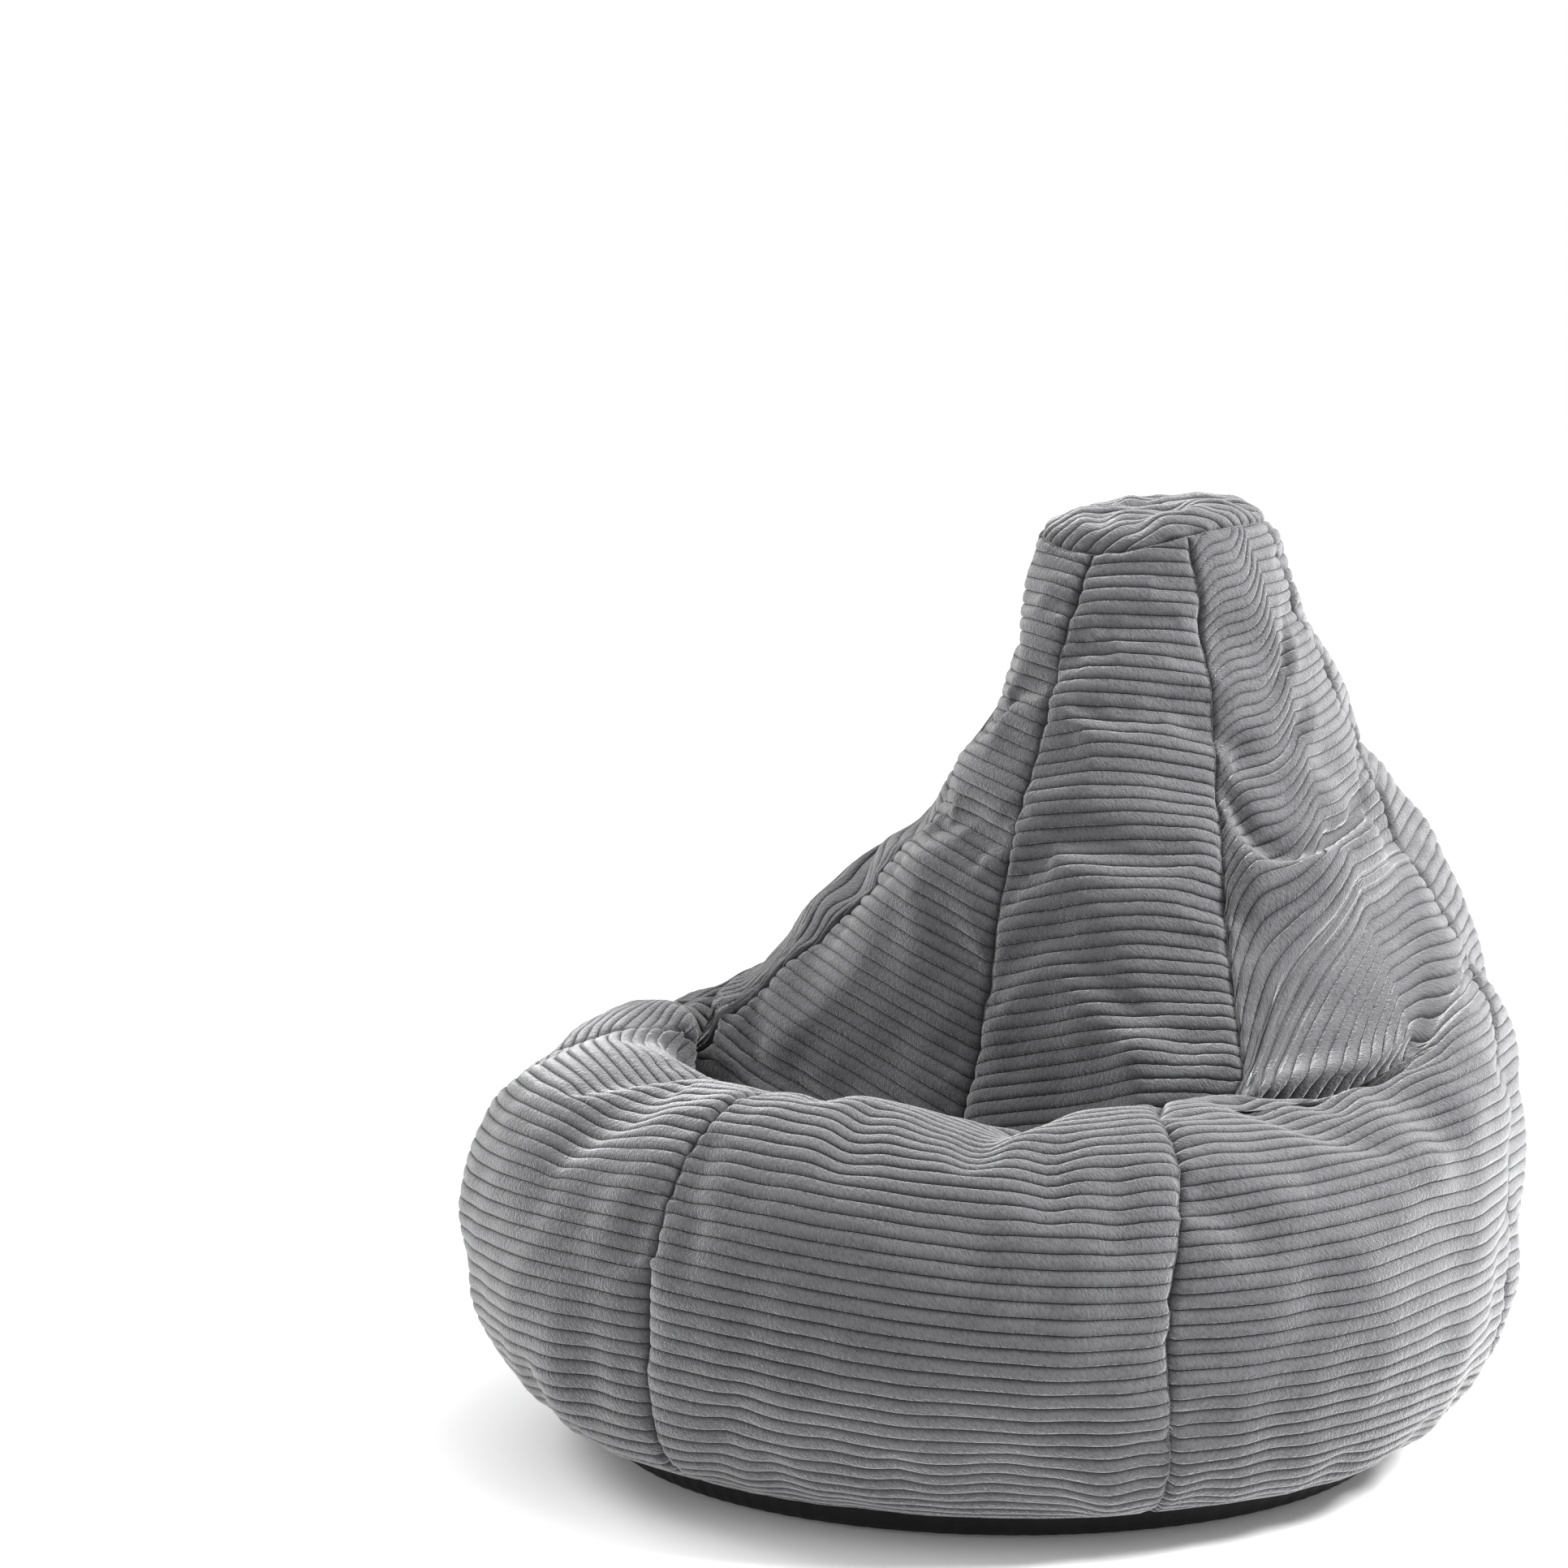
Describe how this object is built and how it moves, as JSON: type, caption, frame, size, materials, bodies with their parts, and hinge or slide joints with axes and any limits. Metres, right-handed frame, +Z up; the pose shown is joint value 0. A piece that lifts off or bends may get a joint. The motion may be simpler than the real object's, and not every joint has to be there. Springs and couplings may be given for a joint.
{
  "type": "bean bag chair",
  "caption": "Teardrop bean bag chair with a pushed-in seat, sewn from pear-shaped corduroy panels with a hexagonal cap, a zipped base, a liner and a bead filling.",
  "frame": {"origin": "on the floor, at the middle of the width and of the depth", "axes": "+Z up, the seat faces -Y, +X to the right as seen from the front"},
  "size_m": [0.8524, 0.8557, 0.775],
  "materials": {
    "corduroy": "wide-wale corduroy with a soft sheen",
    "base_fabric": "black coated weave",
    "liner_fabric": "plain thin weave",
    "beads": "expanded polystyrene beads",
    "thread": "twisted polyester thread",
    "zip_tape": "woven tape",
    "zip_coil": "polyester coil",
    "zip_metal": "dark enamelled zinc"
  },
  "bodies": {
    "bag": {"front_left_panel": "corduroy", "front_right_panel": "corduroy", "right_panel": "corduroy", "left_panel": "corduroy", "back_right_panel": "corduroy", "back_left_panel": "corduroy", "top_cap": "corduroy", "base_panel_front": "base_fabric", "base_panel_rear": "base_fabric", "zip_tape_front": "zip_tape", "zip_tape_rear": "zip_tape", "zip_coil_front": "zip_coil", "zip_coil_rear": "zip_coil", "zip_end_stops": "zip_metal", "liner_front_panel": "liner_fabric", "liner_rear_panel": "liner_fabric", "bead_fill": "beads", "body_seam_threads": "thread", "cap_seam_thread": "thread", "base_seam_thread": "thread"},
    "slider": {"zip_slider": "zip_metal"}
  },
  "joints": [
    {"name": "zip_slide", "type": "slide", "parent": "bag", "child": "slider", "axis": [1, 0, 0], "range_m": [0, 0.43]}
  ]
}
